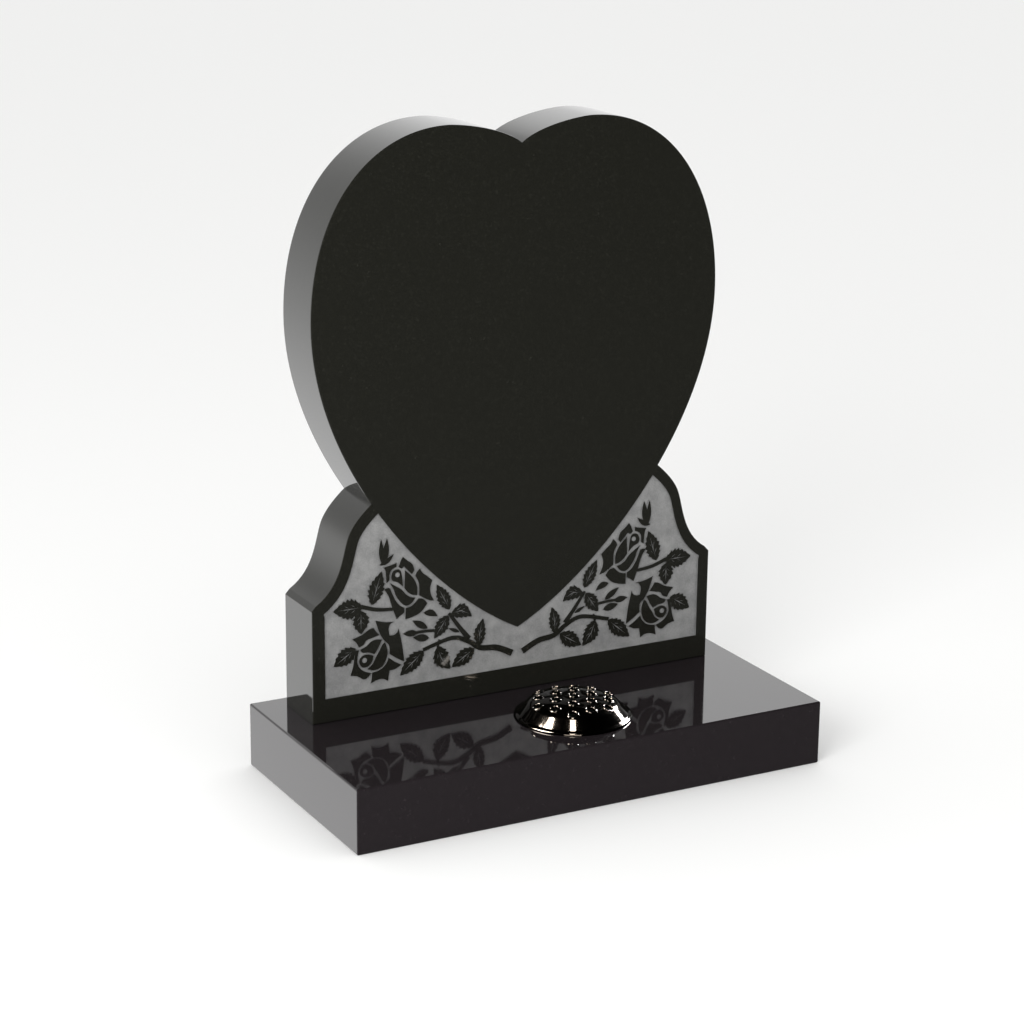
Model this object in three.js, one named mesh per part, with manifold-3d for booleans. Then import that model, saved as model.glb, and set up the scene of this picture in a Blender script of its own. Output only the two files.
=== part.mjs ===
// Heart headstone: a polished black granite slab, a heart on ogee shoulders, with two rose sprays
// left standing on a sunk, blasted panel. It stands on a granite base that holds a flower pot under
// a pierced dome lid. Millimetres, +Z up, front towards -Y, origin in the middle of the underside.
import * as THREE from 'three';
import { mergeVertices } from 'three/addons/utils/BufferGeometryUtils.js';
import Module from 'manifold-3d';

const wasm = await Module();
wasm.setup();

// Base block
const BASE_WIDTH = 610;
const BASE_DEPTH = 300;
const BASE_HEIGHT = 78;
const ARRIS = 2;

// Headstone slab: its width at the shoulders, thickness and distance behind the base's front
const SLAB_WIDTH = 535;
const SLAB_THICKNESS = 78;
const SLAB_SETBACK = 199;
const BED_GAP = 0.3;

// Heart outline, heights above the ground: cusp, lobe top, widest place, tip and curve handles
const HEART_CUSP_Z = 738;
const HEART_TOP_X = 93;
const HEART_TOP_Z = 764;
const HEART_SIDE_X = 265;
const HEART_SIDE_Z = 549;
const HEART_TIP_Z = 158;
const CUSP_HANDLE = { length: 28, angle: 40 };
const LOBE_HANDLES = { inner: 18, outer: 103 };
const SIDE_HANDLES = { upper: 126, lower: 168 };
const TIP_HANDLE = { length: 124, angle: 26 };

// Ogee shoulder: a round crown that leaves the heart, then a hollow sweep out to the slab's side
const CROWN_START = [178, 345];
const CROWN_BEND = [211, 321];
const CROWN_END = [220.5, 300];
const SWEEP_BENDS = [[229, 281], [228, 243]];
const SWEEP_END = [262, 222];
const SIDE_TOP_Z = 216;

// Sunk panel: the polished border around it and how deep the ground is blasted
const PANEL_BORDER = 13.5;
const PANEL_FOOT_Z = 108;
const PANEL_DEPTH = 2;

// Flower pot: drilled hole in the base, pot and flange, centred a little right of the middle
const POT_X = 19;
const POT_Y = -55;
const HOLE_RADIUS = 58;
const POT_RADIUS = 56;
const POT_WALL = 2;
const POT_FOOT_Z = 6;
const FLANGE_RADIUS = 62;
const FLANGE_THICKNESS = 2;

// Lid: a pierced cap, part of an ellipse, then a cone and a sloping brim, with drops measured from the
// crown; stem holes on a triangular grid of two rings
const LID_RADIUS = 70;
const LID_DROP = 23.8;
const LID_WALL = 2;
const CAP_RADIUS = 56.1;
const CAP_RISE = 12;
const CAP_EDGE = 55;
const CONE_RADIUS = 64.5;
const CONE_DROP = 19.5;
const BRIM_DROP = 22;
const STEM_HOLE_RADIUS = 5;
const STEM_HOLE_PITCH = 24;
const STEM_HOLE_RINGS = 2;

// How finely the curves are cut into straight steps
const OUTLINE_STEPS = 12;
const ROUND_STEPS = 40;
const CAP_STEPS = 7;
const LEAF_STEPS = 5;
const HOLE_STEPS = 10;
const STEM_STEPS = 2;
const CUT_OVERRUN = 1;
const MERGE_DISTANCE = 1e-4;

// Rose leaves of the right-hand spray: stalk end x, z, tip x, z, width, sideways sway; a belly under 1
// puts the widest place nearer the stalk
const LEAVES = [
  [51, 142, 46.5, 175.5, 15, -2],
  [58, 140, 88, 121, 19, 0],
  [107, 150, 90, 119.5, 20, 3],
  [125, 147.5, 156, 121.5, 19, 0],
  [90, 187, 61.5, 180.5, 17, -6],
  [93, 186.5, 111, 160.5, 17, 0],
  [91, 193.5, 108, 226.5, 16, 0],
  [120, 174.5, 139.5, 187, 8, 0],
  [118, 162, 139, 166, 9, 0],
  [125, 194.5, 107, 187.5, 8, -2],
  [133, 171, 152, 172.5, 8, 0],
  [78, 163.5, 92, 170, 4.5, 0],
  [206, 209, 206, 180.5, 20, 0],
  [204, 213, 241, 213, 23, 0],
  [192, 214, 179.5, 253, 19, 0],
  [213, 164, 241, 146, 20, 0],
  [177, 261, 172.5, 292, 8, 1],
  [178, 261, 180, 292, 6.5, -0.5],
  [182, 261, 164, 272, 6, 2],
];
const LEAF_BELLY = 0.85;
const LEAF_FULLNESS = 0.9;

// The midrib cut out of leaves of some width: how wide it is and where along the leaf it runs
const RIB_WIDTH = 1.5;
const RIB_RUN = { start: 0.2, widest: 0.45, end: 0.75 };
const RIB_LEAST_LEAF = 14;

// Stems: width at the two ends, then the points that each one passes through
const STEMS = [
  { from: 8, to: 4.5, through: [[7, 126], [28, 136], [50, 139.5], [66, 150], [88, 157.5], [126, 148.5]] },
  { from: 7, to: 3.5, through: [[65, 153], [76, 167], [92, 189]] },
  { from: 3.5, to: 3, through: [[104, 158], [107, 149]] },
  { from: 3.5, to: 3.5, through: [[111, 170.5], [124, 171.5], [136, 171.5]] },
  { from: 4, to: 5, through: [[165, 205], [186, 207.5], [206, 214]] },
];

// Roses: a round dot sunk in the eye, then the eye and the petals as closed outlines. Each side of an
// outline is a smooth line from where the side before it ends, so the sides meet in sharp corners.
const ROSES = [
  {
    dot: { x: 201.8, z: 147.8, radius: 3.2 },
    outlines: [
      [
        [[197, 154.2], [203.5, 153.9], [208.4, 149.5], [207.6, 143], [203, 138.9], [197, 139.8],
        [192.2, 144.5], [190.2, 151.7]],
      ],
      [
        [[175, 190.6], [187.5, 194.2]], [[184, 183], [180, 174], [175.2, 166.8]], [[168.6, 170]],
        [[170.6, 181], [168, 187.5], [163.5, 189.2]],
      ],
      [
        [[160, 175.5], [164.5, 173], [170.5, 172.8], [176, 167.5]], [[171, 163], [169.4, 157],
        [169.7, 150.8]], [[160, 143.8], [150.6, 138.2]], [[151.8, 150], [154, 164], [157.8, 180]],
      ],
      [
        [[162.5, 139.7], [170.8, 146.2]], [[173.2, 140.6], [178, 135.4], [184, 132.2], [192, 131]],
        [[192.6, 124], [194, 118]], [[186, 121], [178, 121], [171.6, 117.6]], [[170.6, 124],
        [169.5, 130]], [[162, 130.8], [154.2, 134.8]],
      ],
      [
        [[213.5, 161.8]], [[214.9, 151], [216.8, 141], [220, 131.6]], [[211, 129.5], [203, 124.5],
        [197.5, 126], [193.5, 130.6]], [[200.5, 133.4], [206.8, 137.8], [210.6, 144.5], [210.9, 151],
        [208.8, 161.2]],
      ],
      [
        [[186.5, 180.5], [190, 185.8]], [[195.5, 184.8], [205, 179.5], [217.3, 175.8]], [[211.8, 170.5],
        [208.8, 164.6]], [[202.5, 167], [199, 171.8], [192, 173.6], [182.6, 176]],
      ],
      [
        [[187, 171], [193.5, 169.2], [199.5, 164.8], [207.2, 161.6]], [[204, 157.4], [196, 156.4],
        [188.8, 153.4]], [[184.2, 160], [179.3, 169.8]],
      ],
      [
        [[179, 163.3], [183.2, 155.6], [187.6, 148.8], [191.6, 141.6], [198.4, 136.4]], [[191, 133.6],
        [184, 134.2], [177.2, 138.6], [172.8, 147.8], [172.2, 156], [175.5, 166]],
      ],
    ],
  },
  {
    dot: { x: 159, z: 246, radius: 3 },
    outlines: [
      [
        [[153.2, 243], [155.4, 250.8], [160, 252.6], [164.8, 250.8], [167, 245], [165.4, 239.8],
        [158.8, 236.8], [152, 230.8]],
      ],
      [
        [[167, 259], [176.5, 257.3]], [[174.3, 252], [173.2, 238]], [[169.6, 241], [169.2, 248],
        [166.4, 253.2], [160.2, 255.8]], [[160.2, 260.8]],
      ],
      [
        [[139.8, 256.5], [146, 261.5], [152, 267]], [[154.6, 263], [157.6, 255.8]], [[153.8, 253],
        [150.6, 255.2]], [[146.5, 250.6], [140.3, 244.2]], [[137, 248.5]],
      ],
      [
        [[149.6, 240], [150.2, 228.6]], [[145.4, 222.6], [139.8, 219], [133.6, 217.4]], [[133.6, 228],
        [137.2, 237], [142.5, 243.8], [149.4, 250.2]],
      ],
      [
        [[160.5, 232], [153.5, 227], [147.8, 220.4], [142, 216.4], [136, 214.8]], [[139.6, 209.6],
        [146, 206.6], [152, 208.8], [157.8, 215.5], [161.6, 222], [164, 229], [168.6, 237]],
      ],
      [
        [[172.5, 231.8], [168.6, 231]], [[165.8, 224], [162, 216], [156.4, 208.4], [150.4, 204.6]],
        [[150.8, 198.4], [155.5, 195.5], [160, 191.8]], [[163.5, 200.5], [167.2, 211], [170.5, 221.5],
        [176, 230.6]],
      ],
      [
        [[125.5, 211.5], [132, 213.2]], [[137.2, 208], [142.2, 205], [148.4, 203.8]], [[148.8, 197],
        [149, 190]], [[138, 192], [128, 196.5], [120.4, 205.5]],
      ],
      [
        [[134, 246], [136, 241.5]], [[132, 234], [131, 227], [131, 217]], [[124, 212.4], [118, 209],
        [111.8, 207.6]], [[115.6, 216], [116.6, 224], [113.8, 233]], [[120.5, 239], [126.5, 244],
        [130, 249.6]],
      ],
    ],
  },
];
const PETAL_STEPS = 2;
const DOT_STEPS = 10;

// Finishes
const polishedGranite = new THREE.MeshStandardMaterial({ color: 0x21221d, roughness: 0.05, metalness: 0 });
const baseGranite = new THREE.MeshStandardMaterial({ color: 0x2b282a, roughness: 0.06, metalness: 0 });
const potAluminium = new THREE.MeshStandardMaterial({ color: 0x9a9b9c, roughness: 0.45, metalness: 1 });
const lidMetal = new THREE.MeshStandardMaterial({ color: 0x17140f, roughness: 0.1, metalness: 1 });

// Worked-out places
const slabFootZ = BASE_HEIGHT + BED_GAP;
const slabFrontY = SLAB_SETBACK - BASE_DEPTH / 2;
const slabBackY = slabFrontY + SLAB_THICKNESS;
const panelFloorY = slabFrontY + PANEL_DEPTH;
const radians = THREE.MathUtils.degToRad;
const point = (pair) => new THREE.Vector2(pair[0], pair[1]);
const mirrored = (points) => points.map((p) => new THREE.Vector2(-p.x, p.y)).reverse();

function solidOf(geometry) {
  const bare = geometry.clone();
  bare.deleteAttribute('normal');
  bare.deleteAttribute('uv');
  const merged = mergeVertices(bare, MERGE_DISTANCE);
  const corners = merged.index.array;
  const kept = [];
  for (let i = 0; i < corners.length; i += 3) {
    const [a, b, c] = corners.slice(i, i + 3);
    if (a !== b && b !== c && c !== a) kept.push(a, b, c);
  }
  const vertProperties = new Float32Array(merged.attributes.position.array);
  const triVerts = new Uint32Array(kept);
  return new wasm.Manifold(new wasm.Mesh({ numProp: 3, vertProperties, triVerts }));
}

function geometryOf(solid) {
  const mesh = solid.getMesh();
  const geometry = new THREE.BufferGeometry();
  geometry.setAttribute('position', new THREE.BufferAttribute(mesh.vertProperties, 3));
  geometry.setIndex(new THREE.BufferAttribute(mesh.triVerts, 1));
  return geometry;
}

function namedMesh(name, solid, material) {
  const mesh = new THREE.Mesh(geometryOf(solid), material);
  mesh.name = name;
  return mesh;
}

// A flat outline in x and height, given thickness from frontY back to backY, edges broken by arris
function upright(shape, frontY, backY, arris = 0) {
  const geometry = new THREE.ExtrudeGeometry(shape, {
    depth: backY - frontY - 2 * arris,
    bevelEnabled: arris > 0,
    bevelThickness: arris,
    bevelSize: arris,
    bevelOffset: -arris,
    bevelSegments: 1,
    curveSegments: 1,
  });
  geometry.rotateX(Math.PI / 2);
  geometry.translate(0, backY - arris, 0);
  return solidOf(geometry);
}

// A closed profile of radius and height turned about the upright axis through the pot's centre
function turned(profile) {
  const geometry = new THREE.LatheGeometry(profile.map(point), ROUND_STEPS);
  geometry.rotateX(Math.PI / 2);
  geometry.translate(POT_X, POT_Y, 0);
  return solidOf(geometry);
}

// An upright round plug, for drilling
function plug(radius, lowZ, highZ, x, y, steps) {
  const geometry = new THREE.CylinderGeometry(radius, radius, highZ - lowZ, steps);
  geometry.rotateX(Math.PI / 2);
  geometry.translate(x, y, (lowZ + highZ) / 2);
  return solidOf(geometry);
}

// Right half of the heart, from the cusp over the lobe and the side down to the tip
function heartHalf() {
  const cusp = new THREE.Vector2(0, HEART_CUSP_Z);
  const top = new THREE.Vector2(HEART_TOP_X, HEART_TOP_Z);
  const side = new THREE.Vector2(HEART_SIDE_X, HEART_SIDE_Z);
  const tip = new THREE.Vector2(0, HEART_TIP_Z);
  const along = (from, handle) => new THREE.Vector2(handle.length, 0)
    .rotateAround(new THREE.Vector2(), radians(handle.angle))
    .add(from);
  const aside = (from, x, z) => new THREE.Vector2(from.x + x, from.y + z);
  const curves = [
    [cusp, along(cusp, CUSP_HANDLE), aside(top, -LOBE_HANDLES.inner, 0), top],
    [top, aside(top, LOBE_HANDLES.outer, 0), aside(side, 0, SIDE_HANDLES.upper), side],
    [side, aside(side, 0, -SIDE_HANDLES.lower), along(tip, TIP_HANDLE), tip],
  ];
  const steps = [OUTLINE_STEPS / 2, OUTLINE_STEPS, OUTLINE_STEPS];
  const points = [cusp];
  curves.forEach((c, i) => points.push(...new THREE.CubicBezierCurve(...c).getPoints(steps[i]).slice(1)));
  return points;
}

function heartShape() {
  const half = heartHalf();
  return new THREE.Shape([...half, ...mirrored(half).slice(1, -1)]);
}

// Right-hand ogee from inside the heart out to the top of the slab's straight side
function ogeeHalf() {
  const crown = new THREE.QuadraticBezierCurve(point(CROWN_START), point(CROWN_BEND), point(CROWN_END));
  const sweep = new THREE.CubicBezierCurve(
    point(CROWN_END), point(SWEEP_BENDS[0]), point(SWEEP_BENDS[1]), point(SWEEP_END));
  const sideTop = new THREE.Vector2(SLAB_WIDTH / 2, SIDE_TOP_Z);
  const crownPoints = crown.getPoints(OUTLINE_STEPS / 2);
  const sweepPoints = sweep.getPoints(OUTLINE_STEPS).slice(1);
  return [...crownPoints, ...sweepPoints, sideTop];
}

// The same line moved inwards
function insetLine(points, distance) {
  return points.map((p, i) => {
    const before = points[Math.max(i - 1, 0)];
    const after = points[Math.min(i + 1, points.length - 1)];
    const run = after.clone().sub(before).normalize();
    return new THREE.Vector2(p.x + run.y * distance, p.y - run.x * distance);
  });
}

function shoulderShape(half, footX, footZ) {
  const right = [...half, new THREE.Vector2(footX, footZ)];
  return new THREE.Shape([...right, ...mirrored(right)]);
}

// A pointed leaf about a line from stalk to tip; large leaves have the midrib cut out
function leafShape([stalkX, stalkZ, tipX, tipZ, width, sway]) {
  const stalk = new THREE.Vector2(stalkX, stalkZ);
  const run = new THREE.Vector2(tipX, tipZ).sub(stalk);
  const across = new THREE.Vector2(-run.y, run.x).normalize();
  const place = (t, offset) => stalk.clone().addScaledVector(run, t).addScaledVector(across, offset);
  const bend = (t) => 4 * sway * t * (1 - t);
  const half = (t) => 0.5 * width * Math.sin(Math.PI * t ** LEAF_BELLY) ** LEAF_FULLNESS;
  const edge = (sign) => Array.from({ length: LEAF_STEPS - 1 }, (_, i) => {
    const t = (i + 1) / LEAF_STEPS;
    return place(t, bend(t) + sign * half(t));
  });
  const shape = new THREE.Shape([place(0, 0), ...edge(-1), place(1, 0), ...edge(1).reverse()]);
  if (width >= RIB_LEAST_LEAF) {
    const { start, widest, end } = RIB_RUN;
    const rib = [[start, 0], [widest, RIB_WIDTH / 2], [end, 0], [widest, -RIB_WIDTH / 2]];
    shape.holes.push(new THREE.Path(rib.map(([t, offset]) => place(t, bend(t) + offset))));
  }
  return shape;
}

// A stem of changing width along a smooth line
function stemShape({ from, to, through }) {
  const line = new THREE.SplineCurve(through.map(point));
  const count = through.length * STEM_STEPS;
  const side = (sign) => Array.from({ length: count + 1 }, (_, i) => {
    const t = i / count;
    const run = line.getTangent(t);
    const half = sign * 0.5 * THREE.MathUtils.lerp(from, to, t);
    const middle = line.getPoint(t);
    return new THREE.Vector2(middle.x + run.y * half, middle.y - run.x * half);
  });
  return new THREE.Shape([...side(1), ...side(-1).reverse()]);
}

function petalPoints(sides) {
  return sides.flatMap((side, i) => {
    const start = sides.at(i - 1).at(-1);
    const steps = side.length > 1 ? side.length * PETAL_STEPS : 1;
    return new THREE.SplineCurve([start, ...side].map(point)).getPoints(steps).slice(1);
  });
}

function roseShapes({ dot, outlines }) {
  const shapes = outlines.map((sides) => new THREE.Shape(petalPoints(sides)));
  const circle = new THREE.EllipseCurve(dot.x, dot.z, dot.radius, dot.radius);
  shapes[0].holes.push(new THREE.Path(circle.getPoints(DOT_STEPS).slice(1)));
  return shapes;
}

function mirrorShape(shape) {
  const { shape: outline, holes } = shape.extractPoints(1);
  const copy = new THREE.Shape(mirrored(outline));
  copy.holes = holes.map((hole) => new THREE.Path(mirrored(hole)));
  return copy;
}

// Both sprays as one solid standing through the panel's depth
function spraySolid() {
  const right = [...LEAVES.map(leafShape), ...STEMS.map(stemShape), ...ROSES.flatMap(roseShapes)];
  return [...right, ...right.map(mirrorShape)]
    .map((shape) => upright(shape, slabFrontY - 2 * CUT_OVERRUN, panelFloorY + CUT_OVERRUN))
    .reduce((whole, piece) => whole.add(piece));
}

function headstone() {
  const ogee = ogeeHalf();
  const heart = upright(heartShape(), slabFrontY, slabBackY, ARRIS);
  const shoulders = upright(shoulderShape(ogee, SLAB_WIDTH / 2, slabFootZ), slabFrontY, slabBackY, ARRIS);
  const inner = insetLine(ogee, PANEL_BORDER);
  inner[inner.length - 1].x = SLAB_WIDTH / 2 - PANEL_BORDER - ARRIS;
  const panelOutline = shoulderShape(inner, inner[inner.length - 1].x, PANEL_FOOT_Z);
  const panel = upright(panelOutline, slabFrontY - CUT_OVERRUN, panelFloorY);
  const heartPlug = upright(heartShape(), slabFrontY - 2 * CUT_OVERRUN, panelFloorY + CUT_OVERRUN);
  const ground = panel.subtract(heartPlug).subtract(spraySolid());
  return heart.add(shoulders).subtract(ground);
}

function base() {
  const x = BASE_WIDTH / 2;
  const y = BASE_DEPTH / 2;
  const right = [[x - ARRIS, -y], [x, ARRIS - y], [x, y - ARRIS], [x - ARRIS, y]].map(point);
  const geometry = new THREE.ExtrudeGeometry(new THREE.Shape([...right, ...mirrored(right)]), {
    depth: BASE_HEIGHT - 2 * ARRIS,
    bevelThickness: ARRIS,
    bevelSize: ARRIS,
    bevelOffset: -ARRIS,
    bevelSegments: 1,
  });
  geometry.translate(0, 0, ARRIS);
  const hole = plug(HOLE_RADIUS, -CUT_OVERRUN, BASE_HEIGHT + CUT_OVERRUN, POT_X, POT_Y, ROUND_STEPS);
  return solidOf(geometry).subtract(hole);
}

// The pot hangs in its hole by the flange
const flangeTopZ = BASE_HEIGHT + BED_GAP + FLANGE_THICKNESS;

function pot() {
  const bore = POT_RADIUS - POT_WALL;
  return turned([
    [0, POT_FOOT_Z],
    [POT_RADIUS, POT_FOOT_Z],
    [POT_RADIUS, flangeTopZ - FLANGE_THICKNESS],
    [FLANGE_RADIUS, flangeTopZ - FLANGE_THICKNESS],
    [FLANGE_RADIUS, flangeTopZ],
    [bore, flangeTopZ],
    [bore, POT_FOOT_Z + POT_WALL],
    [0, POT_FOOT_Z + POT_WALL],
  ]);
}

// Points of the cap's line, from the crown out to its edge
function capLine(crownZ) {
  const edgeAngle = Math.asin(CAP_EDGE / CAP_RADIUS);
  return Array.from({ length: CAP_STEPS + 1 }, (_, i) => {
    const angle = edgeAngle * (i / CAP_STEPS);
    return new THREE.Vector2(CAP_RADIUS * Math.sin(angle), crownZ - CAP_RISE * (1 - Math.cos(angle)));
  });
}

// Stem holes on a triangular grid, out to a number of rings about the middle
function stemHoles() {
  const places = [];
  for (let a = -STEM_HOLE_RINGS; a <= STEM_HOLE_RINGS; a += 1) {
    for (let b = -STEM_HOLE_RINGS; b <= STEM_HOLE_RINGS; b += 1) {
      if (Math.abs(a + b) > STEM_HOLE_RINGS) continue;
      places.push(new THREE.Vector2(a + b / 2, b * Math.sqrt(3) / 2).multiplyScalar(STEM_HOLE_PITCH));
    }
  }
  return places;
}

function lid() {
  const footZ = BASE_HEIGHT + BED_GAP;
  const crownZ = footZ + LID_DROP;
  const skin = [...capLine(crownZ), new THREE.Vector2(CONE_RADIUS, crownZ - CONE_DROP)];
  const lining = insetLine(skin, LID_WALL);
  lining[0].x = 0;
  const shell = turned([
    ...lining.map((p) => p.toArray()),
    [LID_RADIUS - LID_WALL, footZ],
    [LID_RADIUS, footZ],
    [LID_RADIUS, crownZ - BRIM_DROP],
    ...skin.reverse().map((p) => p.toArray()),
  ]);
  return stemHoles().reduce((solid, { x, y }) => solid.subtract(
    plug(STEM_HOLE_RADIUS, footZ, crownZ + CUT_OVERRUN, POT_X + x, POT_Y + y, HOLE_STEPS)), shell);
}

const group = new THREE.Group();
group.add(
  namedMesh('headstone', headstone(), polishedGranite),
  namedMesh('base', base(), baseGranite),
  namedMesh('flower_pot', pot(), potAluminium),
  namedMesh('flower_lid', lid(), lidMetal),
);

export default group;
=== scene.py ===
"""Heart headstone: the looks of the polished granite slab, its base, flower pot and lid."""
import math

import bmesh
import bpy
from mathutils import Matrix, Vector
from mathutils.geometry import interpolate_bezier, intersect_line_line_2d


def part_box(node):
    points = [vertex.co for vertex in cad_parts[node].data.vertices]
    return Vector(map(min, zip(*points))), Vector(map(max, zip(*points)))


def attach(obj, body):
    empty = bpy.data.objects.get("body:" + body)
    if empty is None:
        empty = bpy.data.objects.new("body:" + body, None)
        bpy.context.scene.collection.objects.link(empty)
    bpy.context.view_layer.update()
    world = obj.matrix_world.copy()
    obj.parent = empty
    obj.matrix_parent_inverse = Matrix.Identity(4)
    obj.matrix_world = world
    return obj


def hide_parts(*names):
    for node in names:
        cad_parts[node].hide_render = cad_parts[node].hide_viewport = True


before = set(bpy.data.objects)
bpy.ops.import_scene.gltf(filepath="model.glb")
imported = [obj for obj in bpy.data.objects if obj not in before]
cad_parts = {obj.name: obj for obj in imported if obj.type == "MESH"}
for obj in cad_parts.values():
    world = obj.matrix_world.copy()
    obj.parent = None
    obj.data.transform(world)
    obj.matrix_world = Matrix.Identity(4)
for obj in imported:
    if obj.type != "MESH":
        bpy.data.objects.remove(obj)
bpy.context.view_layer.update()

MM = 0.001
BODY = "root"

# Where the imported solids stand
SLAB_LOW, SLAB_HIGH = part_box("headstone")
BASE_LOW, BASE_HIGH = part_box("base")
POT_LOW, POT_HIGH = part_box("flower_pot")
LID_LOW, LID_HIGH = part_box("flower_lid")
POT_CENTRE = (LID_LOW + LID_HIGH) / 2

# Camera: place in metres, turn from the stone's front, downward tilt, roll, and lens for a 36 mm sensor
CAMERA_PLACE = Vector((-1.4713, -2.6576, 1.2234))
CAMERA_TURN = 28.38
CAMERA_TILT = 16.67
CAMERA_ROLL = 0.61
CAMERA_LENS = 95.84
CAMERA_SENSOR = 36
CAMERA_REACH = 100

# Heart outline in millimetres above the ground: cusp, lobe top, widest place, tip, curve handles
HEART_CUSP = Vector((0, 738))
HEART_TOP = Vector((93, 764))
HEART_SIDE = Vector((265, 549))
HEART_TIP = Vector((0, 158))
CUSP_HANDLE = Vector((28, 0))
CUSP_ANGLE = 40
LOBE_INNER = Vector((18, 0))
LOBE_OUTER = Vector((103, 0))
SIDE_UPPER = Vector((0, 126))
SIDE_LOWER = Vector((0, 168))
TIP_HANDLE = Vector((124, 0))
TIP_ANGLE = 26

# Ogee shoulder: the crown that leaves the heart, then the hollow sweep out to the side.
# The crown is pulled towards one bend, by the share that makes it a part of a parabola.
CROWN_PULL = 2 / 3
CROWN_START = Vector((178, 345))
CROWN_BEND = Vector((211, 321))
CROWN_END = Vector((220.5, 300))
SWEEP_BENDS = (Vector((229, 281)), Vector((228, 243)))
SWEEP_END = Vector((262, 222))
SIDE_TOP_Z = 216

# Edges, the sunk panel and the veins cut into the leaves, in millimetres
ARRIS = 2
ARRIS_SEGMENTS = 3
PANEL_BORDER = 13.5
PANEL_FOOT_Z = 108
PANEL_DEPTH = 2
VEIN_DEPTH = 1.3
CUT_OVERRUN = 1

# Fineness of the curves, the angles in degrees that stay sharp, and how near points are to be merged
OUTLINE_STEPS = 48
LOBE_STEPS = 12
CROWN_STEPS = 16
PETAL_STEPS = 6
RING_STEPS = 32
STEM_STEPS = 6
STONE_SHARP_ANGLE = 12
LID_SHARP_ANGLE = 40
MERGE_DISTANCE = 0.01

# Leaves of the right-hand spray in millimetres: stalk end x, z, tip x, z, width, sideways sway
LEAVES = (
    (51, 142, 46.5, 175.5, 15, -2),
    (58, 140, 88, 121, 19, 0),
    (107, 150, 90, 119.5, 20, 3),
    (125, 147.5, 156, 121.5, 19, 0),
    (90, 187, 61.5, 180.5, 17, -6),
    (93, 186.5, 111, 160.5, 17, 0),
    (91, 193.5, 108, 226.5, 16, 0),
    (120, 174.5, 139.5, 187, 8, 0),
    (118, 162, 139, 166, 9, 0),
    (125, 194.5, 107, 187.5, 8, -2),
    (133, 171, 152, 172.5, 8, 0),
    (78, 163.5, 92, 170, 4.5, 0),
    (206, 209, 206, 180.5, 20, 0),
    (204, 213, 241, 213, 23, 0),
    (192, 214, 179.5, 253, 19, 0),
    (213, 164, 241, 146, 20, 0),
    (177, 261, 172.5, 292, 8, 1),
    (178, 261, 180, 292, 6.5, -0.5),
    (182, 261, 164, 272, 6, 2),
)
LEAF_BELLY = 0.85
LEAF_FULLNESS = 0.9
TOOTH_DEPTH = 0.26
TOOTH_LENGTH = 5.5
TOOTH_STEPS = 4
BROAD_LEAF = 14

# Veins blasted into the broad leaves: width of midrib and side veins, and where they run
RIB_WIDTH = 1.4
RIB_RUN = (0.12, 0.45, 0.84)
VEIN_WIDTH = 0.8
VEIN_STARTS = (0.24, 0.46)
VEIN_RISE = 0.17
VEIN_REACH = 0.5
VEIN_GAP = 0.75

# Stems of the right-hand spray: width at the two ends, then the points that each one passes through
STEMS = (
    (8, 4.5, ((7, 126), (28, 136), (50, 139.5), (66, 150), (88, 157.5), (126, 148.5))),
    (7, 3.5, ((65, 153), (76, 167), (92, 189))),
    (3.5, 3, ((104, 158), (107, 149))),
    (3.5, 3.5, ((111, 170.5), (124, 171.5), (136, 171.5))),
    (4, 5, ((165, 205), (186, 207.5), (206, 214))),
)

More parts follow.
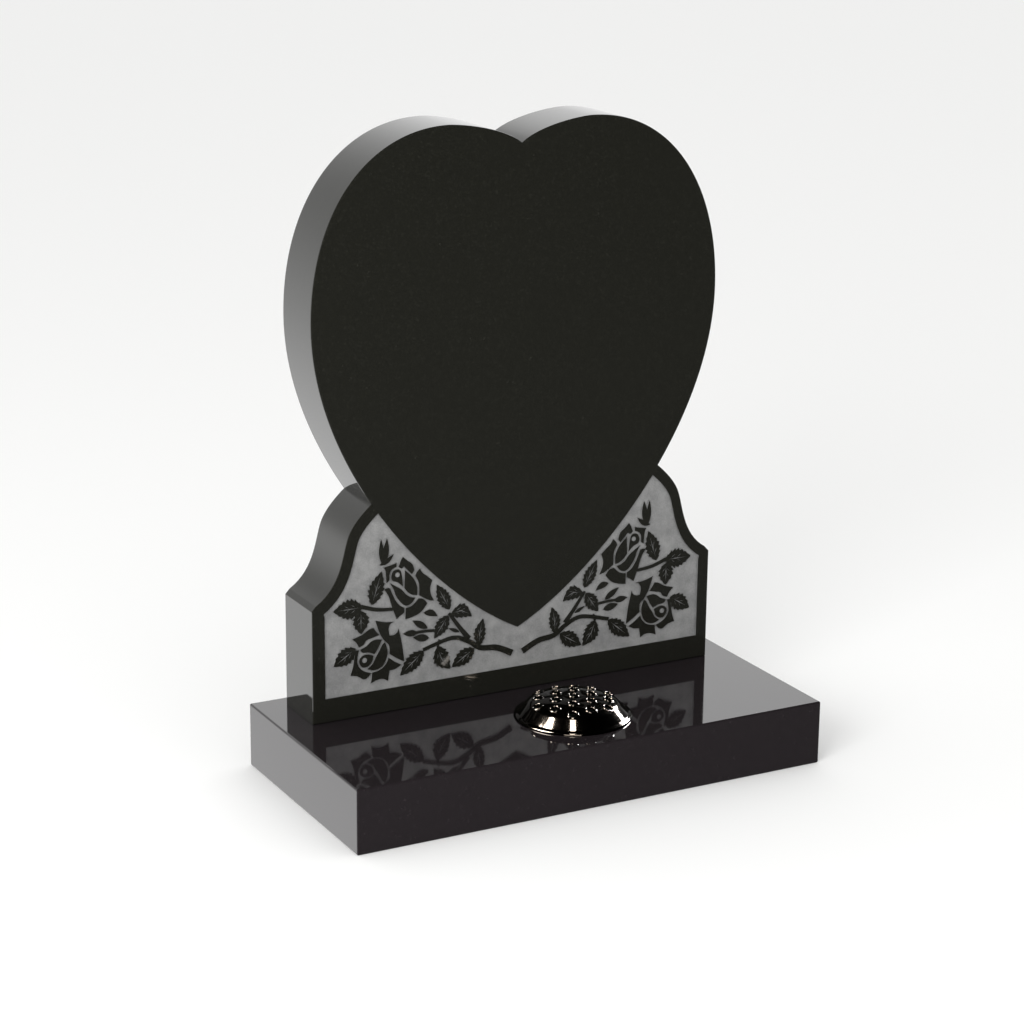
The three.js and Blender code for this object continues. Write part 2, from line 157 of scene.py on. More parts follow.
# Roses: the middle and radius of the dot sunk in the eye, then the eye and the petals as closed outlines.
# Each side of an outline is a smooth line from where the side before it ends, so the sides meet in corners.
ROSES = (
    ((201.8, 147.8), 3.2, (
        (
            ((197, 154.2), (203.5, 153.9), (208.4, 149.5), (207.6, 143), (203, 138.9), (197, 139.8),
            (192.2, 144.5), (190.2, 151.7)),
        ),
        (
            ((175, 190.6), (187.5, 194.2)), ((184, 183), (180, 174), (175.2, 166.8)), ((168.6, 170),),
            ((170.6, 181), (168, 187.5), (163.5, 189.2)),
        ),
        (
            ((160, 175.5), (164.5, 173), (170.5, 172.8), (176, 167.5)), ((171, 163), (169.4, 157),
            (169.7, 150.8)), ((160, 143.8), (150.6, 138.2)), ((151.8, 150), (154, 164), (157.8, 180)),
        ),
        (
            ((162.5, 139.7), (170.8, 146.2)), ((173.2, 140.6), (178, 135.4), (184, 132.2), (192, 131)),
            ((192.6, 124), (194, 118)), ((186, 121), (178, 121), (171.6, 117.6)), ((170.6, 124),
            (169.5, 130)), ((162, 130.8), (154.2, 134.8)),
        ),
        (
            ((213.5, 161.8),), ((214.9, 151), (216.8, 141), (220, 131.6)), ((211, 129.5), (203, 124.5),
            (197.5, 126), (193.5, 130.6)), ((200.5, 133.4), (206.8, 137.8), (210.6, 144.5),
            (210.9, 151), (208.8, 161.2)),
        ),
        (
            ((186.5, 180.5), (190, 185.8)), ((195.5, 184.8), (205, 179.5), (217.3, 175.8)),
            ((211.8, 170.5), (208.8, 164.6)), ((202.5, 167), (199, 171.8), (192, 173.6), (182.6, 176)),
        ),
        (
            ((187, 171), (193.5, 169.2), (199.5, 164.8), (207.2, 161.6)), ((204, 157.4), (196, 156.4),
            (188.8, 153.4)), ((184.2, 160), (179.3, 169.8)),
        ),
        (
            ((179, 163.3), (183.2, 155.6), (187.6, 148.8), (191.6, 141.6), (198.4, 136.4)),
            ((191, 133.6), (184, 134.2), (177.2, 138.6), (172.8, 147.8), (172.2, 156), (175.5, 166)),
        ),
    )),
    ((159, 246), 3, (
        (
            ((153.2, 243), (155.4, 250.8), (160, 252.6), (164.8, 250.8), (167, 245), (165.4, 239.8),
            (158.8, 236.8), (152, 230.8)),
        ),
        (
            ((167, 259), (176.5, 257.3)), ((174.3, 252), (173.2, 238)), ((169.6, 241), (169.2, 248),
            (166.4, 253.2), (160.2, 255.8)), ((160.2, 260.8),),
        ),
        (
            ((139.8, 256.5), (146, 261.5), (152, 267)), ((154.6, 263), (157.6, 255.8)), ((153.8, 253),
            (150.6, 255.2)), ((146.5, 250.6), (140.3, 244.2)), ((137, 248.5),),
        ),
        (
            ((149.6, 240), (150.2, 228.6)), ((145.4, 222.6), (139.8, 219), (133.6, 217.4)),
            ((133.6, 228), (137.2, 237), (142.5, 243.8), (149.4, 250.2)),
        ),
        (
            ((160.5, 232), (153.5, 227), (147.8, 220.4), (142, 216.4), (136, 214.8)), ((139.6, 209.6),
            (146, 206.6), (152, 208.8), (157.8, 215.5), (161.6, 222), (164, 229), (168.6, 237)),
        ),
        (
            ((172.5, 231.8), (168.6, 231)), ((165.8, 224), (162, 216), (156.4, 208.4), (150.4, 204.6)),
            ((150.8, 198.4), (155.5, 195.5), (160, 191.8)), ((163.5, 200.5), (167.2, 211),
            (170.5, 221.5), (176, 230.6)),
        ),
        (
            ((125.5, 211.5), (132, 213.2)), ((137.2, 208), (142.2, 205), (148.4, 203.8)), ((148.8, 197),
            (149, 190)), ((138, 192), (128, 196.5), (120.4, 205.5)),
        ),
        (
            ((134, 246), (136, 241.5)), ((132, 234), (131, 227), (131, 217)), ((124, 212.4), (118, 209),
            (111.8, 207.6)), ((115.6, 216), (116.6, 224), (113.8, 233)), ((120.5, 239), (126.5, 244),
            (130, 249.6)),
        ),
    )),
)

# Flower lid: wall, the pierced cap and the cone below it, then the brim and the lining under the cone as
# radius and drop from the crown
LID_WALL = 2
CAP_RADIUS = 56.1
CAP_RISE = 12
CAP_EDGE = 55
CAP_STEPS = 22
CONE_FOOT = 64.5
CONE_SLOPE = 1.045
BRIM_LINE = ((65.2, 20.1), (67.4, 20.8), (68.7, 21.4), (69.6, 22.3), (70, 23.3), (70, 23.8))
LINING_LINE = ((68, 23.8), (63, 21.4))

# Stem holes on a triangular grid, each with a raised round rim. The drills are turned a little, so that
# their corners don't meet the edges of the turned lid.
HOLE_RADIUS = 5
HOLE_PITCH = 24
HOLE_RINGS = 2
HOLE_SEGMENTS = 32
DRILL_LENGTH = 48
DRILL_TURN = Matrix.Rotation(math.radians(2), 4, "Z")
RIM_RADIUS = 1.3
RIM_SETBACK = 1
RIM_SEGMENTS = 10

# Flower pot, with a chamfered mouth and flange, and a rounded foot
POT_WALL = 2
POT_RADIUS = 56
FLANGE_THICKNESS = 2
FLANGE_CHAMFER = 0.5
MOUTH_CHAMFER = 0.7
FOOT_ROUNDING = 2
FOOT_BULGE = 0.3
POT_SEGMENTS = 96
BASE_HOLE_RADIUS = 58

# Floor, and the pale surroundings that light the stone softly
FLOOR_RADIUS = 12
FLOOR_SEGMENTS = 96
FLOOR_COLOUR = "#f4f4f3"
SURROUND_LIGHT = 1.0

# Room that the polish mirrors: back walls that grow brighter towards the upper right and lower left, where
# they fade out at the sides and overhead, and the dim ground in front
WALL_LIGHT = 1.1
WALL_SLANT = 3.0
WALL_TURN = -0.25
WALL_SIDES = (0.1, 0.75)
CEILING_FADE = (0.47, 0.62)
GROUND_FADE = (-0.15, -0.5)
GROUND_LIGHT = (0.01, 0.12)

# Key light, and the softboxes that only the lid mirrors: direction from the lid, distance, width and height
# in metres, watts
KEY_LIGHT = ((-0.75, -0.55, 0.45), 3, (1.4, 1.4), 50)
LID_LIGHTS = {
    "left_softbox": ((-0.59, 0.28, 0.75), 2.2, (1.3, 1.1), 1100),
    "right_softbox": ((0.8, 0.33, 0.47), 2.2, (0.75, 0.6), 285),
    "front_softbox": ((-0.17, -0.3, 0.93), 2.2, (0.25, 0.45), 60),
    "low_softbox": ((-0.45, -0.8, 0.4), 2.2, (1.2, 0.4), 80),
}

# Sizes in millimetres of the patterns in stone and metal
GRAIN_SIZE = 1.6
CLOUD_SIZE = 9
GRIT_SIZE = 1.1
PIT_DEPTH = 0.4
PATCH_SIZE = 14
RUB_SIZE = 6
TURNING_SIZE = 8

# Sockets of a Mix node, which Blender numbers by the kind of value mixed
COLOUR_A, COLOUR_B, COLOUR_OUT = 6, 7, 2
VALUE_FACTOR, VALUE_A, VALUE_B, VALUE_OUT = 0, 2, 3, 0


def linear(hex_colour):
    """sRGB hex to linear RGBA."""
    channels = [int(hex_colour[i:i + 2], 16) / 255 for i in (1, 3, 5)]
    return (*[c / 12.92 if c <= 0.04045 else ((c + 0.055) / 1.055) ** 2.4 for c in channels], 1)


def add(tree, kind, inputs=None, **settings):
    """One node with its settings; an input is a value or the socket to link from."""
    node = tree.nodes.new(kind)
    for name, value in settings.items():
        setattr(node, name, value)
    for name, value in (inputs or {}).items():
        socket = node.inputs[name]
        if isinstance(value, bpy.types.NodeSocket):
            tree.links.new(value, socket)
        else:
            socket.default_value = value
    return node


def new_material(name):
    material = bpy.data.materials.new(name)
    material.use_nodes = True
    tree = material.node_tree
    return material, tree, tree.nodes["Principled BSDF"]


def per_metre(size_mm):
    """Texture scale that makes one cell about this many millimetres."""
    return 1 / (size_mm * MM)


def polished_granite(name, ground_colour, fleck_colour):
    """Fine-grained black granite, ground and buffed: near black, mirror smooth, faint grey grains."""
    material, tree, shader = new_material(name)
    place = add(tree, "ShaderNodeTexCoord").outputs["Object"]
    grains = add(tree, "ShaderNodeTexVoronoi", {"Vector": place, "Scale": per_metre(GRAIN_SIZE)})
    flecks = add(tree, "ShaderNodeMapRange", {
        "Value": grains.outputs["Color"], "From Min": 0.72, "From Max": 1.0})
    cloud = add(tree, "ShaderNodeTexNoise", {"Vector": place, "Scale": per_metre(CLOUD_SIZE), "Detail": 4})
    amount = add(tree, "ShaderNodeMath", {0: flecks.outputs["Result"], 1: cloud.outputs["Fac"]},
                 operation="MULTIPLY")
    colour = add(tree, "ShaderNodeMix", {
        "Factor": amount.outputs["Value"], COLOUR_A: linear(ground_colour),
        COLOUR_B: linear(fleck_colour)}, data_type="RGBA")
    tree.links.new(colour.outputs[COLOUR_OUT], shader.inputs["Base Color"])
    gloss = add(tree, "ShaderNodeMapRange", {
        "Value": cloud.outputs["Fac"], "To Min": 0.03, "To Max": 0.07})
    tree.links.new(gloss.outputs["Result"], shader.inputs["Roughness"])
    shader.inputs["IOR"].default_value = 1.6
    return material


def blasted_granite():
    """The same granite frosted by sandblasting: broken crystals scatter light, so it reads mid grey."""
    material, tree, shader = new_material("sandblasted_granite")
    place = add(tree, "ShaderNodeTexCoord").outputs["Object"]
    grit = add(tree, "ShaderNodeTexNoise", {"Vector": place, "Scale": per_metre(GRIT_SIZE), "Detail": 6})
    patch = add(tree, "ShaderNodeTexNoise", {"Vector": place, "Scale": per_metre(PATCH_SIZE), "Detail": 3})
    blend = add(tree, "ShaderNodeMath", {0: grit.outputs["Fac"], 1: patch.outputs["Fac"]}, operation="ADD")
    tone = add(tree, "ShaderNodeMapRange", {
        "Value": blend.outputs["Value"], "From Min": 0.75, "From Max": 1.25})
    colour = add(tree, "ShaderNodeMix", {
        "Factor": tone.outputs["Result"], COLOUR_A: linear("#727272"),
        COLOUR_B: linear("#8b8b8a")}, data_type="RGBA")
    tree.links.new(colour.outputs[COLOUR_OUT], shader.inputs["Base Color"])
    pits = add(tree, "ShaderNodeBump", {
        "Height": grit.outputs["Fac"], "Strength": 0.6, "Distance": PIT_DEPTH * MM})
    tree.links.new(pits.outputs["Normal"], shader.inputs["Normal"])
    shader.inputs["Roughness"].default_value = 0.8
    shader.inputs["IOR"].default_value = 1.55
    return material


def plated_lid():
    """Pressed metal with a polished black plating: a dark mirror with faint rubbing marks."""
    material, tree, shader = new_material("black_plated_metal")
    place = add(tree, "ShaderNodeTexCoord").outputs["Object"]
    rubs = add(tree, "ShaderNodeTexNoise", {"Vector": place, "Scale": per_metre(RUB_SIZE), "Detail": 5})
    gloss = add(tree, "ShaderNodeMapRange", {
        "Value": rubs.outputs["Fac"], "To Min": 0.04, "To Max": 0.1})
    tree.links.new(gloss.outputs["Result"], shader.inputs["Roughness"])
    tone = add(tree, "ShaderNodeMix", {
        "Factor": rubs.outputs["Fac"], COLOUR_A: linear("#26221e"),
        COLOUR_B: linear("#2d2924")}, data_type="RGBA")
    tree.links.new(tone.outputs[COLOUR_OUT], shader.inputs["Base Color"])
    shader.inputs["Metallic"].default_value = 1
    return material


def spun_aluminium():
    """Plain spun aluminium: satin grey with fine turning rings."""
    material, tree, shader = new_material("spun_aluminium")
    place = add(tree, "ShaderNodeTexCoord").outputs["Object"]
    centred = add(tree, "ShaderNodeMapping", {
        "Vector": place, "Location": (-POT_CENTRE.x, -POT_CENTRE.y, 0)})
    rings = add(tree, "ShaderNodeTexWave", {
        "Vector": centred.outputs["Vector"], "Scale": per_metre(TURNING_SIZE), "Distortion": 0.6},
        wave_type="RINGS", rings_direction="Z")
    tone = add(tree, "ShaderNodeMix", {
        "Factor": rings.outputs["Fac"], COLOUR_A: linear("#9b9c9e"),
        COLOUR_B: linear("#b9babc")}, data_type="RGBA")
    tree.links.new(tone.outputs[COLOUR_OUT], shader.inputs["Base Color"])
    shader.inputs["Metallic"].default_value = 1
    shader.inputs["Roughness"].default_value = 0.38
    return material


def floor_paint():
    """Plain pale studio floor."""
    material, _, shader = new_material("pale_floor")
    shader.inputs["Base Color"].default_value = linear(FLOOR_COLOUR)
    shader.inputs["Roughness"].default_value = 0.9
    return material


def new_piece(name, bm, materials):
    mesh = bpy.data.meshes.new(name)
    bm.to_mesh(mesh)
    bm.free()
    for material in materials:
        mesh.materials.append(material)
    piece = bpy.data.objects.new(name, mesh)
    bpy.context.scene.collection.objects.link(piece)
    return piece


def shade(piece, sharp_degrees=STONE_SHARP_ANGLE):
    piece.data.shade_smooth()
    piece.data.set_sharp_from_angle(angle=math.radians(sharp_degrees))


def carve(piece, tool, operation):
    """Joins or cuts a piece with a tool piece, which is used up."""
    modifier = piece.modifiers.new("carve", "BOOLEAN")
    modifier.operation = operation
    modifier.object = tool
    modifier.solver = "EXACT"
    modifier.use_self = True
    depsgraph = bpy.context.evaluated_depsgraph_get()
    carved = bpy.data.meshes.new_from_object(piece.evaluated_get(depsgraph))
    piece.modifiers.clear()
    piece.data = carved
    bpy.data.objects.remove(tool)


def upright(bm, outline, front_y, back_y, face_slot=0, wall_slot=0):
    """A flat outline in x and height, in millimetres, given thickness from front to back."""
    face = bm.faces.new([bm.verts.new((x * MM, front_y, z * MM)) for x, z in outline])
    grown = bmesh.ops.extrude_face_region(bm, geom=[face], use_keep_orig=True)["geom"]
    back = [part for part in grown if isinstance(part, bmesh.types.BMVert)]
    bmesh.ops.translate(bm, verts=back, vec=(0, back_y - front_y, 0))
    caps = {face, *[part for part in grown if isinstance(part, bmesh.types.BMFace)]}
    walls = {f for vert in back for f in vert.link_faces} - caps
    for cap in caps:
        cap.material_index = face_slot
    for wall in walls:
        wall.material_index = wall_slot
    bmesh.ops.recalc_face_normals(bm, faces=[*caps, *walls])


def mirrored(points):
    return [Vector((-p[0], p[1])) for p in reversed(points)]


def turned(vector, degrees):
    return Matrix.Rotation(math.radians(degrees), 2) @ vector


def bezier(start, handle, far_handle, end, steps):
    return [p.to_2d() for p in interpolate_bezier(
        start.to_3d(), handle.to_3d(), far_handle.to_3d(), end.to_3d(), steps + 1)]


def spline(points, steps):
    """Smooth line through points of any dimension, the same number of steps in all."""
    points = [Vector(p) for p in points]
    last = len(points) - 1
    line = []
    for step in range(steps + 1):
        place = step / steps * last
        i = min(int(place), last - 1)
        t = place - i
        p0, p1, p2, p3 = (points[min(max(i + k, 0), last)] for k in (-1, 0, 1, 2))
        a, b = (p2 - p0) / 2, (p3 - p1) / 2
        line.append(p1 + a * t + (3 * (p2 - p1) - 2 * a - b) * t ** 2 + (2 * (p1 - p2) + a + b) * t ** 3)
    return line


def meeting(first, second):
    """Where two lines of points cross: the index before it on each, and the place."""
    for i, (a, b) in enumerate(zip(first, first[1:])):
        for j, (c, d) in enumerate(zip(second, second[1:])):
            place = intersect_line_line_2d(a, b, c, d)
            if place:
                return i, j, place


def heart_half():
    """Right half of the heart, from the cusp over the lobe and side to the tip."""
    lobe = bezier(HEART_CUSP, HEART_CUSP + turned(CUSP_HANDLE, CUSP_ANGLE), HEART_TOP - LOBE_INNER,
                  HEART_TOP, LOBE_STEPS)
    upper = bezier(HEART_TOP, HEART_TOP + LOBE_OUTER, HEART_SIDE + SIDE_UPPER, HEART_SIDE, OUTLINE_STEPS)
    lower = bezier(HEART_SIDE, HEART_SIDE - SIDE_LOWER, HEART_TIP + turned(TIP_HANDLE, TIP_ANGLE),
                   HEART_TIP, OUTLINE_STEPS)
    return lobe + upper[1:] + lower[1:]


def ogee_half():
    """Right-hand shoulder line from inside the heart out to the top of the straight side."""
    crown = bezier(CROWN_START, CROWN_START.lerp(CROWN_BEND, CROWN_PULL),
                   CROWN_END.lerp(CROWN_BEND, CROWN_PULL), CROWN_END, CROWN_STEPS)
    sweep = bezier(CROWN_END, *SWEEP_BENDS, SWEEP_END, CROWN_STEPS)
    return crown + sweep[1:] + [Vector((SLAB_HIGH.x / MM, SIDE_TOP_Z))]


def inset_line(points, distance):
    """A line of points moved sideways by a distance, to its right."""
    line = []
    for i, p in enumerate(points):
        run = (points[min(i + 1, len(points) - 1)] - points[max(i - 1, 0)]).normalized()
        line.append(Vector((p.x + run.y * distance, p.y - run.x * distance)))
    return line


def slab_outline():
    """The heart over the ogee shoulders and the straight sides, both halves."""
    heart, ogee = heart_half(), ogee_half()
    i, j, notch = meeting(heart, ogee)
    foot = Vector((SLAB_HIGH.x / MM, SLAB_LOW.z / MM))
    right = heart[:i + 1] + [notch] + ogee[j + 1:] + [foot]
    return right + mirrored(right)[:-1]


def panel_outline():
    """The panel under the heart, inside the polished border."""
    heart = heart_half()
    inner = inset_line(ogee_half(), PANEL_BORDER)
    inner[-1].x = SLAB_HIGH.x / MM - PANEL_BORDER - ARRIS
    i, j, peak = meeting(heart, inner)
    foot = Vector((inner[-1].x, PANEL_FOOT_Z))
    right = list(reversed(heart[i + 1:])) + [peak] + inner[j + 1:] + [foot]
    return right + mirrored(right)[:-1]


def leaf_frame(leaf):
    """Functions for a place along and across a leaf and for its half width, then the leaf's length."""
    stalk, tip, width, sway = Vector(leaf[0:2]), Vector(leaf[2:4]), leaf[4], leaf[5]
    run = tip - stalk
    across = Vector((-run.y, run.x)).normalized()

    def bend(t):
        return 4 * sway * t * (1 - t)

    def place(t, offset):
        return stalk + run * t + across * (bend(t) + offset)

    def half(t):
        return 0.5 * width * max(math.sin(math.pi * t ** LEAF_BELLY), 0) ** LEAF_FULLNESS

    return place, half, run.length


def leaf_outline(leaf):
    """A pointed leaf; broad ones have a margin of teeth that point to the tip."""
    place, half, length = leaf_frame(leaf)
    teeth = round(length / TOOTH_LENGTH)
    depth = TOOTH_DEPTH if leaf[4] >= BROAD_LEAF else 0
    count = teeth * TOOTH_STEPS
    near, far = [], []
    for i in range(1, count):
        tooth = i % TOOTH_STEPS / (TOOTH_STEPS - 1)
        margin = half(i / count) * (1 + depth * (tooth - 0.5))
        near.append(place(i / count, -margin))
        far.append(place(i / count, margin))
    return [place(0, 0), *near, place(1, 0), *reversed(far)]


def sliver(start, middle, end, width):
    """A thin pointed cut through three places."""
    across = Vector((-(end - start).y, (end - start).x)).normalized() * width / 2
    return [start, middle - across, end, middle + across]


def leaf_veins(leaf):
    """The midrib and side veins of a broad leaf, as thin cuts."""
    if leaf[4] < BROAD_LEAF:
        return []
    place, half, _ = leaf_frame(leaf)
    start, middle, end = RIB_RUN
    veins = [sliver(place(start, 0), place(middle, 0), place(end, 0), RIB_WIDTH)]
    for t in VEIN_STARTS:
        for side in (-1, 1):
            reach = side * VEIN_REACH * half(t + VEIN_RISE)
            root = side * RIB_WIDTH * VEIN_GAP
            mid = place(t + VEIN_RISE / 2, (root + reach) / 2)
            veins.append(sliver(place(t, root), mid, place(t + VEIN_RISE, reach), VEIN_WIDTH))
    return veins


def stem_outline(stem):
    """A stem of changing width along a smooth line."""
    start_width, end_width, through = stem
    line = spline(through, len(through) * STEM_STEPS)
    near, far = [], []
    for i, p in enumerate(line):
        run = (line[min(i + 1, len(line) - 1)] - line[max(i - 1, 0)]).normalized()
        t = i / (len(line) - 1)
        half = 0.5 * (start_width + (end_width - start_width) * t)
        near.append(p + Vector((run.y, -run.x)) * half)
        far.append(p - Vector((run.y, -run.x)) * half)
    return near + far[::-1]


def petal_outline(sides):
    """A petal's sides joined into one outline."""
    outline = []
    for i, side in enumerate(sides):
        outline += spline((sides[i - 1][-1], *side), len(side) * PETAL_STEPS)[1:]
    return outline


def circle(centre, radius):
    return [Vector(centre) + turned(Vector((radius, 0)), 360 * i / RING_STEPS) for i in range(RING_STEPS)]


def both_sides(outlines):
    """The outlines of one spray and of its mirror image."""
    return outlines + [mirrored(outline) for outline in outlines]


def headstone(granite, blasted):
    """The slab with its panel sunk, the sprays left standing, and veins and eyes cut into them."""
    finishes = (granite, blasted)
    front, back = SLAB_LOW.y, SLAB_HIGH.y
    bm = bmesh.new()
    upright(bm, slab_outline(), front, back)
    rim = [e for e in bm.edges if abs(e.verts[0].co.y - e.verts[1].co.y) < MM / 10]
    bmesh.ops.bevel(bm, geom=rim, offset=ARRIS * MM, offset_type="OFFSET", affect="EDGES",
                    segments=ARRIS_SEGMENTS, profile=0.5, material=-1)
    slab = new_piece("headstone_slab", bm, finishes)

    bm = bmesh.new()
    upright(bm, panel_outline(), front - CUT_OVERRUN * MM, front + PANEL_DEPTH * MM, 1, 1)
    carve(slab, new_piece("panel_cut", bm, finishes), "DIFFERENCE")

    bm = bmesh.new()
    standing = [leaf_outline(leaf) for leaf in LEAVES] + [stem_outline(stem) for stem in STEMS]
    cuts = [vein for leaf in LEAVES for vein in leaf_veins(leaf)]
    for dot, radius, outlines in ROSES:
        standing += [petal_outline(sides) for sides in outlines]
        cuts.append(circle(dot, radius))
    for outline in both_sides(standing):
        upright(bm, outline, front, front + (PANEL_DEPTH + CUT_OVERRUN) * MM, 0, 1)
    carve(slab, new_piece("sprays", bm, finishes), "UNION")

    bm = bmesh.new()
    for outline in both_sides(cuts):
        upright(bm, outline, front - CUT_OVERRUN * MM, front + VEIN_DEPTH * MM, 1, 1)
    carve(slab, new_piece("vein_cuts", bm, finishes), "DIFFERENCE")
    shade(slab)
    return slab


def base_block(granite):
    """The base with softened arrises, drilled through for the pot."""
    bm = bmesh.new()
    bmesh.ops.create_cube(bm, size=1)
    bmesh.ops.scale(bm, vec=BASE_HIGH - BASE_LOW, verts=bm.verts)
    bmesh.ops.translate(bm, vec=(BASE_HIGH + BASE_LOW) / 2, verts=bm.verts)
    bmesh.ops.bevel(bm, geom=bm.edges[:], offset=ARRIS * MM, offset_type="OFFSET", affect="EDGES",
                    segments=ARRIS_SEGMENTS, profile=0.5, material=-1)
    block = new_piece("base_block", bm, (granite,))
    bm = bmesh.new()
    drill = Matrix.Translation((POT_CENTRE.x, POT_CENTRE.y, BASE_HIGH.z / 2))
    bmesh.ops.create_cone(bm, cap_ends=True, segments=POT_SEGMENTS, radius1=BASE_HOLE_RADIUS * MM,
                          radius2=BASE_HOLE_RADIUS * MM, depth=2 * BASE_HIGH.z, matrix=drill)
    carve(block, new_piece("drill", bm, (granite,)), "DIFFERENCE")
    shade(block)
    return block


def spun(name, profile, material):
    """A closed profile of radius and height, in millimetres, turned about the pot's axis."""
    bm = bmesh.new()
    line = [bm.verts.new((POT_CENTRE.x + r * MM, POT_CENTRE.y, z * MM)) for r, z in profile]
    edges = [bm.edges.new(pair) for pair in zip(line, line[1:])]
    bmesh.ops.spin(bm, geom=line + edges, cent=(POT_CENTRE.x, POT_CENTRE.y, 0), axis=(0, 0, 1),
                   angle=math.tau, steps=POT_SEGMENTS, use_merge=True)
    bmesh.ops.remove_doubles(bm, verts=bm.verts, dist=MERGE_DISTANCE * MM)
    bmesh.ops.recalc_face_normals(bm, faces=bm.faces)
    return new_piece(name, bm, (material,))


def flower_pot(aluminium):
    """The hollow pot with the flange it hangs by."""
    top, foot = POT_HIGH.z / MM, POT_LOW.z / MM
    flange = (POT_HIGH.x - POT_LOW.x) / 2 / MM
    under = top - FLANGE_THICKNESS
    bore = POT_RADIUS - POT_WALL
    floor = foot + POT_WALL
    bulge = FOOT_ROUNDING * FOOT_BULGE
    profile = [
        (0, foot), (POT_RADIUS - FOOT_ROUNDING, foot), (POT_RADIUS - bulge, foot + bulge),
        (POT_RADIUS, foot + FOOT_ROUNDING), (POT_RADIUS, under),
        (flange - FLANGE_CHAMFER, under), (flange, under + FLANGE_CHAMFER),
        (flange, top - FLANGE_CHAMFER), (flange - FLANGE_CHAMFER, top),
        (bore + MOUTH_CHAMFER, top), (bore, top - MOUTH_CHAMFER),
        (bore, floor + FOOT_ROUNDING), (bore - FOOT_ROUNDING, floor), (0, floor),
    ]
    pot = spun("pot_shell", profile, aluminium)
    shade(pot)
    return pot


def lid_height(radius):
    """Height of the cap or the cone at a distance from the middle, from the crown down."""
    cap = CAP_RISE * (math.sqrt(1 - (min(radius, CAP_EDGE) / CAP_RADIUS) ** 2) - 1)
    return cap - max(radius - CAP_EDGE, 0) * CONE_SLOPE


def hole_places():
    """The middles of the stem holes, measured from the middle of the lid."""
    rings = range(-HOLE_RINGS, HOLE_RINGS + 1)
    return [Vector((a + b / 2, b * math.sqrt(3) / 2)) * HOLE_PITCH
            for a in rings for b in rings if abs(a + b) <= HOLE_RINGS]


def flower_lid(plating):
    """The lid turned from its profile, drilled for the stems, with a round rim around each hole."""
    crown = LID_LOW.z / MM + BRIM_LINE[-1][1]
    cap = [CAP_EDGE * i / CAP_STEPS for i in range(CAP_STEPS + 1)]
    profile = [(r, lid_height(r)) for r in [*cap, CONE_FOOT]]
    profile += [(r, -drop) for r, drop in BRIM_LINE + LINING_LINE]
    profile += [(r, lid_height(r) - LID_WALL) for r in reversed(cap)]
    lid = spun("pierced_lid", [(r, crown + height) for r, height in profile], plating)

    drills, rims = bmesh.new(), bmesh.new()
    for hole in hole_places():
        middle = hole.to_3d()
        at_hole = Matrix.Translation(middle)
        bmesh.ops.create_cone(drills, cap_ends=True, segments=HOLE_SEGMENTS, radius1=HOLE_RADIUS,
                              radius2=HOLE_RADIUS, depth=DRILL_LENGTH, matrix=at_hole @ DRILL_TURN)
        start = at_hole @ Matrix.Translation((HOLE_RADIUS + RIM_SETBACK, 0, 0))
        ring = bmesh.ops.create_circle(rims, segments=RIM_SEGMENTS, radius=RIM_RADIUS,
                                       matrix=start @ Matrix.Rotation(math.radians(90), 4, "X"))["verts"]
        edges = list({edge for vert in ring for edge in vert.link_edges})
        bmesh.ops.spin(rims, geom=ring + edges, cent=middle, axis=(0, 0, 1), angle=math.tau,
                       steps=HOLE_SEGMENTS, use_merge=True)
    bmesh.ops.remove_doubles(rims, verts=rims.verts, dist=MERGE_DISTANCE)
    bmesh.ops.recalc_face_normals(rims, faces=rims.faces)
    for vert in rims.verts:
        vert.co.z += lid_height(vert.co.to_2d().length)
    to_lid = Matrix.Translation((POT_CENTRE.x, POT_CENTRE.y, crown * MM)) @ Matrix.Scale(MM, 4)
    for bm in (drills, rims):
        bmesh.ops.transform(bm, matrix=to_lid, verts=bm.verts)
    carve(lid, new_piece("stem_drills", drills, (plating,)), "DIFFERENCE")
    rims.from_mesh(lid.data)
    rims.to_mesh(lid.data)
    rims.free()
    shade(lid, LID_SHARP_ANGLE)
    return lid


def camera():
    """The camera at the photograph's angle."""
    data = bpy.data.cameras.new("camera")
    data.lens = CAMERA_LENS
    data.sensor_width = CAMERA_SENSOR
    data.clip_end = CAMERA_REACH
    view = bpy.data.objects.new("camera", data)
    turn, tilt = math.radians(CAMERA_TURN), math.radians(CAMERA_TILT)
    forward = Vector((math.sin(turn) * math.cos(tilt), math.cos(turn) * math.cos(tilt), -math.sin(tilt)))
    aim = forward.to_track_quat("-Z", "Y").to_matrix() @ Matrix.Rotation(math.radians(CAMERA_ROLL), 3, "Z")
    view.matrix_world = Matrix.Translation(CAMERA_PLACE) @ aim.to_4x4()
    bpy.context.scene.collection.objects.link(view)
    bpy.context.scene.camera = view


def softbox(name, direction, distance, size, watts):
    """A rectangular light that faces the lid."""
    data = bpy.data.lights.new(name, "AREA")
    data.shape = "RECTANGLE"
    data.size, data.size_y = size
    data.energy = watts
    light = bpy.data.objects.new(name, data)
    arm = Vector(direction).normalized()
    light.location = POT_CENTRE + arm * distance
    light.rotation_euler = (-arm).to_track_quat("-Z", "Y").to_euler()
    bpy.context.scene.collection.objects.link(light)
    return light


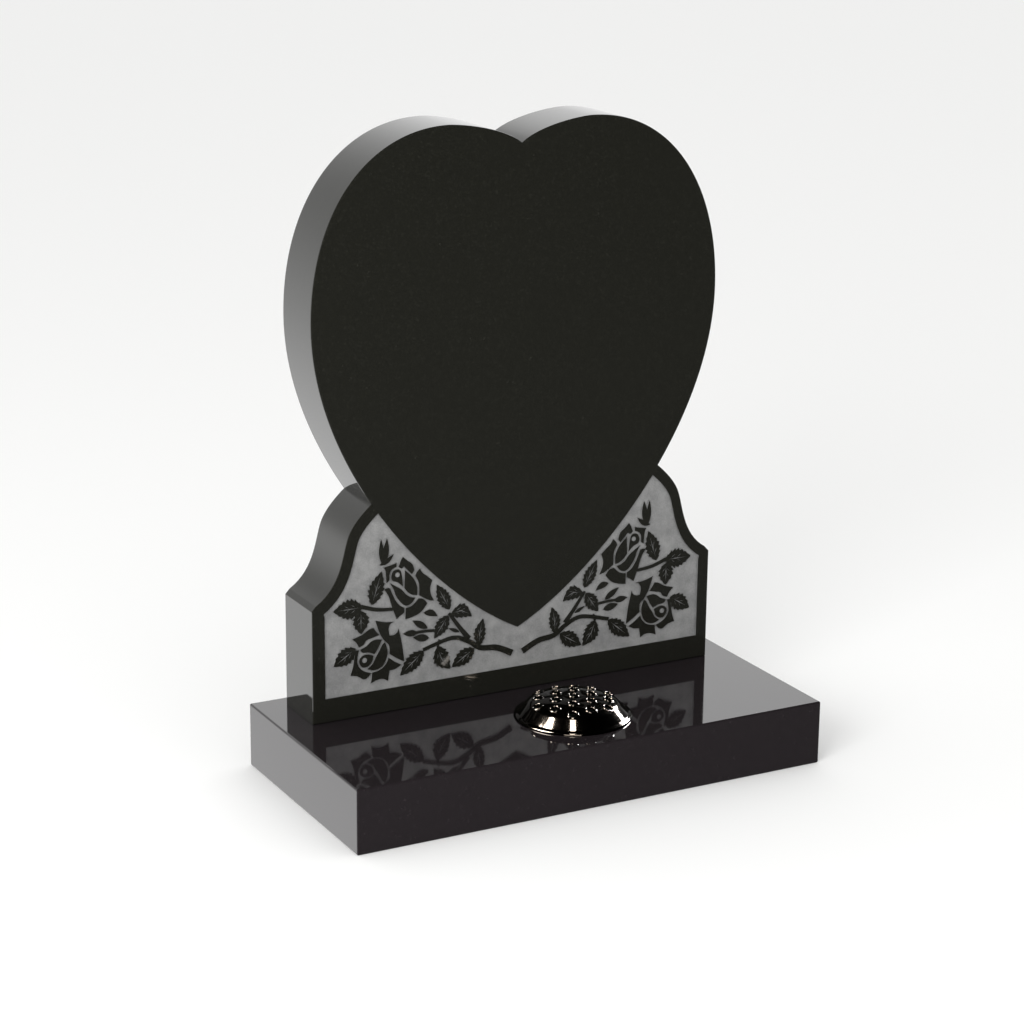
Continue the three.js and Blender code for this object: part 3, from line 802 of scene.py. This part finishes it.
def studio():
    """Pale floor, pale surroundings, and a room that is bright behind and dark in front."""
    bm = bmesh.new()
    bmesh.ops.create_circle(bm, cap_ends=True, segments=FLOOR_SEGMENTS, radius=FLOOR_RADIUS)
    floor = new_piece("floor", bm, (floor_paint(),))
    floor.visible_glossy = False

    world = bpy.data.worlds.new("studio")
    world.use_nodes = True
    bpy.context.scene.world = world
    tree = world.node_tree
    direction = add(tree, "ShaderNodeTexCoord").outputs["Generated"]
    axes = add(tree, "ShaderNodeSeparateXYZ", {"Vector": direction}).outputs
    aside = add(tree, "ShaderNodeMath", {0: axes["X"], 1: WALL_TURN, 2: axes["Y"]},
                operation="MULTIPLY_ADD")
    back = add(tree, "ShaderNodeMapRange", {
        "Value": aside.outputs["Value"], "From Min": WALL_SIDES[0], "From Max": WALL_SIDES[1]},
        interpolation_type="SMOOTHSTEP")
    slant = add(tree, "ShaderNodeMath", {0: axes["X"], 1: axes["Z"]}, operation="MULTIPLY")
    uneven = add(tree, "ShaderNodeMath", {0: slant.outputs["Value"], 1: WALL_SLANT, 2: WALL_LIGHT},
                 operation="MULTIPLY_ADD")
    ceiling = add(tree, "ShaderNodeMapRange", {
        "Value": axes["Z"], "From Min": CEILING_FADE[0], "From Max": CEILING_FADE[1],
        "To Min": 1, "To Max": 0}, interpolation_type="SMOOTHSTEP")
    wall = add(tree, "ShaderNodeMath", {0: back.outputs["Result"], 1: uneven.outputs["Value"]},
               operation="MULTIPLY")
    low_wall = add(tree, "ShaderNodeMath", {0: wall.outputs["Value"], 1: ceiling.outputs["Result"]},
                   operation="MULTIPLY")
    ground = add(tree, "ShaderNodeMapRange", {
        "Value": axes["Z"], "From Min": GROUND_FADE[0], "From Max": GROUND_FADE[1],
        "To Min": GROUND_LIGHT[0], "To Max": GROUND_LIGHT[1]})
    room = add(tree, "ShaderNodeMath", {0: low_wall.outputs["Value"], 1: ground.outputs["Result"]},
               operation="ADD")
    mirrored_ray = add(tree, "ShaderNodeLightPath").outputs["Is Glossy Ray"]
    strength = add(tree, "ShaderNodeMix", {
        VALUE_FACTOR: mirrored_ray, VALUE_A: SURROUND_LIGHT, VALUE_B: room.outputs["Value"]},
        data_type="FLOAT")
    tree.links.new(strength.outputs[VALUE_OUT], tree.nodes["Background"].inputs["Strength"])
    tree.nodes["Background"].inputs["Color"].default_value = (1, 1, 1, 1)

    softbox("key_light", *KEY_LIGHT).visible_glossy = False
    bpy.context.scene.view_settings.view_transform = "Standard"


def lid_lights(lid):
    """Softboxes whose mirror images show in the lid alone."""
    lit = bpy.data.collections.new("lit_lid")
    lit.objects.link(lid)
    for name, light in LID_LIGHTS.items():
        softbox(name, *light).light_linking.receiver_collection = lit


camera()
studio()
olive_granite = polished_granite("polished_olive_black_granite", "#1c1c18", "#30302b")
# The base is the slab's granite again, tinted plum: the tint is a painted reflection, the purplish cast its
# polished faces pick up from the room.
granite_with_painted_plum_reflection = polished_granite("polished_black_granite_painted_plum_reflection", "#211d1f", "#353032")
lid = flower_lid(plated_lid())
lid_lights(lid)
for piece, node, slot in (
    (headstone(olive_granite, blasted_granite()), "headstone", "polished_granite"),
    (base_block(granite_with_painted_plum_reflection), "base", "base_granite"),
    (flower_pot(spun_aluminium()), "flower_pot", "pot_aluminium"),
    (lid, "flower_lid", "lid_metal"),
):
    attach(piece, BODY)
    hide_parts(node)
